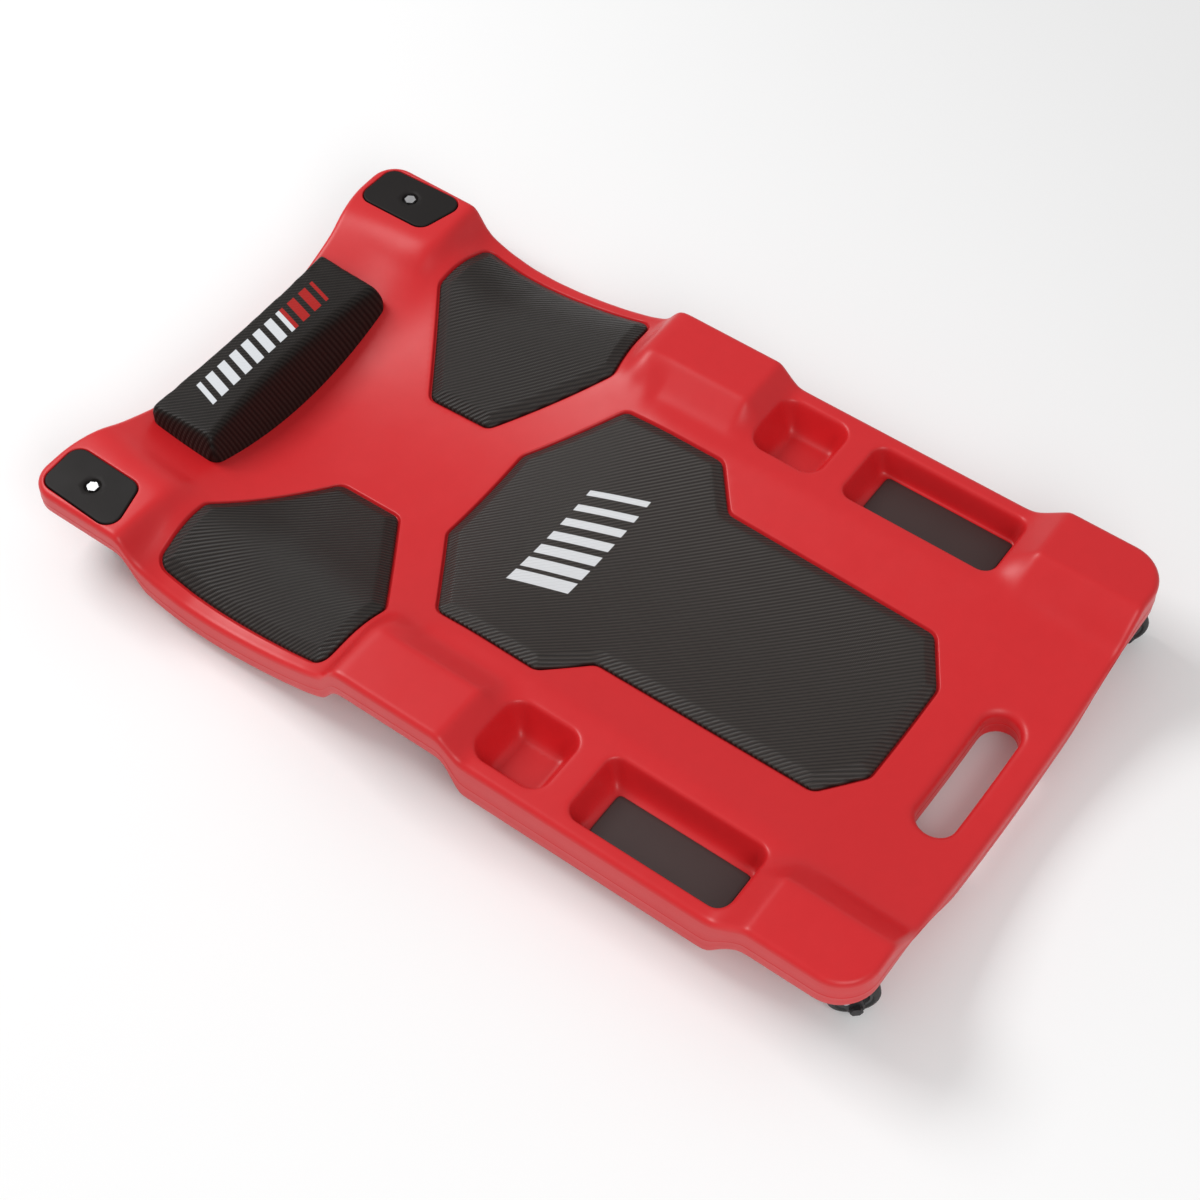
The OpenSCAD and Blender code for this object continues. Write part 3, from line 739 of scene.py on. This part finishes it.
def cap_piece(name, plan):
    """A corner cap with a round well for its bolt head."""
    s = 1 if plan[0][0] > 0 else -1
    hole_c = (CAP_WELL[0] * s, CAP_WELL[1])
    rings_g = (0.0, 0.2, 0.6, 1.2, 2.0, 3.2)
    edge = poly_outline(plan, 0, CAP_R)
    rings = [resample(poly_outline(plan, g, CAP_R), 2.5) for g in rings_g]
    wells = [arc(*hole_c, r, 0, 360, 49)[:-1] for r in (11.5, 10.6, 10.0, 9.5, 9.2, 9.0, 6.0)]
    loose = lattice(-340, 340, 450, 572, 5.0)
    from_hole = np.hypot(loose[:, 0] - hole_c[0], loose[:, 1] - hole_c[1])
    keep = (inside_by(loose, edge) > 6) & (from_hole > 14)
    pts, tris, back = triangulate(rings + wells, loose[keep])
    tris = tris[inside_by(pts[tris].mean(1), rings[0]) > 0]
    d = inside_by(pts, edge)
    q = np.hypot(pts[:, 0] - hole_c[0], pts[:, 1] - hole_c[1])
    z = LOBE_TOP + 0.7 - edge_drop(d, 1.6) - 5.0 * ramp(10.8, 9.2, q, 0.25)
    n = len(pts)
    verts = [(*p, h) for p, h in zip(pts, z)] + [(*p, LOBE_TOP - 5.8) for p in pts]
    faces = [tuple(t) for t in tris] + [tuple(n + t[::-1]) for t in tris]
    m = len(rings[0])
    loop = [back[i] for i in range(m)]
    faces += [(loop[i], n + loop[i], n + loop[(i + 1) % m], loop[(i + 1) % m]) for i in range(m)]
    ob = make(name, verts, faces, M_CAP)
    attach(ob, "deck")
    return ob


for cap_name, cap_plan in cap_plans.items():
    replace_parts(cap_piece("cap_" + cap_name, cap_plan), cap_name)


def magnet_piece(name, s):
    """A flat strip with a rounded upper edge, as stacked rings."""
    box = STRIP if s > 0 else flip_box(STRIP)
    steps = [(0.0, 77.5), (0.0, 81.6), (0.25, 82.6), (0.9, 83.25), (1.8, 83.5), (6.0, 83.6)]
    verts, faces = [], []
    n = len(resample(box_outline(box, 0.0), 4.0))
    for g, z in steps:
        t = resample(box_outline(box, g), 4.0)
        d = np.vstack([t, t[:1]])
        seg = np.r_[0, np.cumsum(np.hypot(*np.diff(d, axis=0).T))]
        u = np.linspace(0, seg[-1], n, endpoint=False)
        ring = np.stack([np.interp(u, seg, d[:, 0]), np.interp(u, seg, d[:, 1])], 1)
        verts += [(*q, z) for q in ring]
    for k in range(len(steps) - 1):
        for i in range(n):
            j = (i + 1) % n
            faces.append((k * n + i, k * n + j, (k + 1) * n + j, (k + 1) * n + i))
    faces.append(tuple(range((len(steps) - 1) * n, len(steps) * n)))
    faces.append(tuple(reversed(range(n))))
    ob = make(name, verts, faces, M_MAGNET)
    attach(ob, "deck")
    return ob


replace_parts(magnet_piece("strip_l", -1), "magnet_l")
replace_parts(magnet_piece("strip_r", 1), "magnet_r")

# ---------------------------------------------------------------- carried-over nodes
look = {"cap_bolts": M_STEEL, "cap_nuts": M_ZINC, "plate_screws": M_STEEL, "pad_clips": M_CLIP,
        "plate": M_ZINC, "kingpin": M_STEEL, "balls": M_STEEL, "fork": M_BLACK, "axle": M_BLACK,
        "hub": M_HUB, "tyre": M_TYRE, "main_board": M_BOARD, "shoulder_board": M_BOARD,
        "headrest_board": M_BOARD}
for node_name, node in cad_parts.items():
    key = next((k for k in look if node_name.startswith(k)), None)
    if key:
        node.data.materials.clear()
        node.data.materials.append(look[key])

# ---------------------------------------------------------------- stage, light and camera
floor_mesh = bpy.data.meshes.new("floor")
floor_mesh.from_pydata([(-30, -30, 0), (30, -30, 0), (30, 30, 0), (-30, 30, 0)], [], [(0, 1, 2, 3)])
floor = bpy.data.objects.new("floor", floor_mesh)
bpy.context.scene.collection.objects.link(floor)
fn = Nodes("floor_pale")
floor_tone = fn.mixrgb(fn.noise(2.0), (0.95, 0.95, 0.95), (0.96, 0.96, 0.96))
floor_mesh.materials.append(fn.set(Base_Color=floor_tone, Roughness=0.9, Specular_IOR_Level=0.0))

world = bpy.data.worlds.new("studio")
bpy.context.scene.world = world
world.use_nodes = True
world.node_tree.nodes["Background"].inputs[0].default_value = (1.0, 1.0, 1.0, 1)
world.node_tree.nodes["Background"].inputs[1].default_value = 0.47
bpy.context.scene.view_settings.view_transform = "Standard"


def area(name, place, target, size, power):
    light = bpy.data.lights.new(name, "AREA")
    light.shape = "RECTANGLE"
    light.size, light.size_y = size
    light.energy = power
    ob = bpy.data.objects.new(name, light)
    ob.location = place
    ob.rotation_euler = (Vector(target) - Vector(place)).to_track_quat("-Z", "Y").to_euler()
    bpy.context.scene.collection.objects.link(ob)
    return ob


area("key", (-0.2, 2.6, 2.9), (0, 0, 0.1), (2.0, 1.6), 78)
area("fill", (-1.6, -2.2, 2.4), (0, 0, 0.1), (1.8, 1.8), 40)

cam_data = bpy.data.cameras.new("camera")
cam_data.lens = 68.97
cam_data.sensor_width = 36.0
cam = bpy.data.objects.new("camera", cam_data)
cam.location = (-1.3360, -0.9894, 2.2462)
cam.rotation_euler = (math.radians(36.21), 0.0, math.radians(-53.86))
bpy.context.scene.collection.objects.link(cam)
bpy.context.scene.camera = cam
